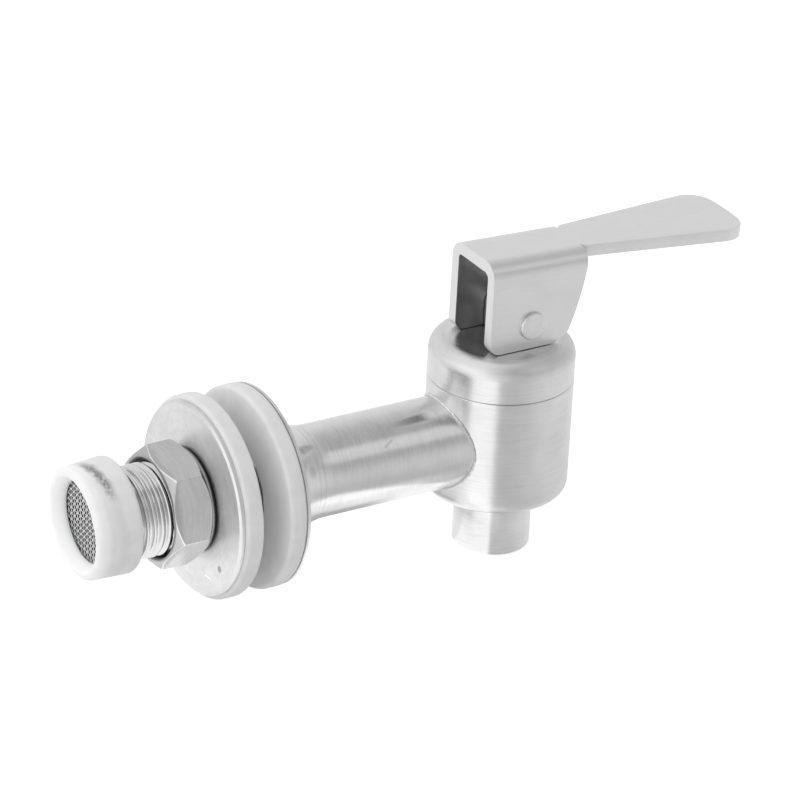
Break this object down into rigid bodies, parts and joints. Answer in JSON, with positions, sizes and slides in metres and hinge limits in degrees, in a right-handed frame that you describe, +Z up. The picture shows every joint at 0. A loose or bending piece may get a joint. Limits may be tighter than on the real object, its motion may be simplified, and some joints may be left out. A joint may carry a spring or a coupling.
{
  "type": "beverage dispenser spigot",
  "caption": "Stainless lever tap with a spring valve, clamped through a drinks tank wall by soft seals and a nut, with a strainer on the inlet.",
  "frame": {"origin": "on the shank's axis, at the face of the outer seal that meets the tank wall", "axes": "+X along the shank, out of the tank towards the barrel; +Z up along the barrel; +Y away from the side shown in the picture"},
  "size_m": [0.126, 0.0346, 0.0553],
  "materials": {
    "barrel_steel": "fine circular brushing",
    "tube_steel": "fine circular brushing, bright thread",
    "lever_steel": "satin sheet",
    "nut_steel": "machined, bright edges",
    "washer_steel": "stamped, lightly stained",
    "inner_steel": "turned",
    "mesh_steel": "drawn wire",
    "silicone": "translucent white, matt"
  },
  "bodies": {
    "body": {"inlet_shank": "tube_steel", "outer_seal": "silicone", "backing_washer": "washer_steel", "strainer_cap": "silicone", "strainer_mesh": "mesh_steel", "valve_body": "barrel_steel", "bonnet": "barrel_steel"},
    "clamp": {"inner_seal": "silicone", "steel_washer": "washer_steel"},
    "nut": {"lock_nut": "nut_steel"},
    "plunger": {"seat_cup": "silicone", "spring_washer": "inner_steel", "return_spring": "inner_steel"},
    "stem": {"stem": "inner_steel"},
    "lever": {"lever": "lever_steel", "pivot_pin": "lever_steel"}
  },
  "joints": [
    {"name": "clamp_slide", "type": "slide", "parent": "body", "child": "clamp", "axis": [1, 0, 0], "range_m": [-0.0025, 0.0046]},
    {"name": "nut_turn", "type": "hinge", "parent": "clamp", "child": "nut", "pos_m": [-0.0132, 0, 0], "axis": [1, 0, 0], "range_deg": [-630, 1170]},
    {"name": "valve_lift", "type": "slide", "parent": "body", "child": "plunger", "axis": [0, 0, 1], "range_m": [0, 0.0017], "deforming": ["return_spring", "seat_cup"]},
    {"name": "lever_swivel", "type": "hinge", "parent": "plunger", "child": "stem", "pos_m": [0.0505, 0, 0.0176], "axis": [0, 0, 1], "continuous": true},
    {"name": "lever_press", "type": "hinge", "parent": "stem", "child": "lever", "pos_m": [0.0519, 0, 0.0219], "axis": [0, 1, 0], "range_deg": [0, 28], "stiffness_Nm_per_rad": 0.0173, "springref_deg": -100.84}
  ],
  "couplings": [
    {"joint": "clamp_slide", "follows": "nut_turn", "m_per_rad": 0.00022457},
    {"joint": "valve_lift", "follows": "lever_press", "m_per_rad": 0.0034}
  ]
}
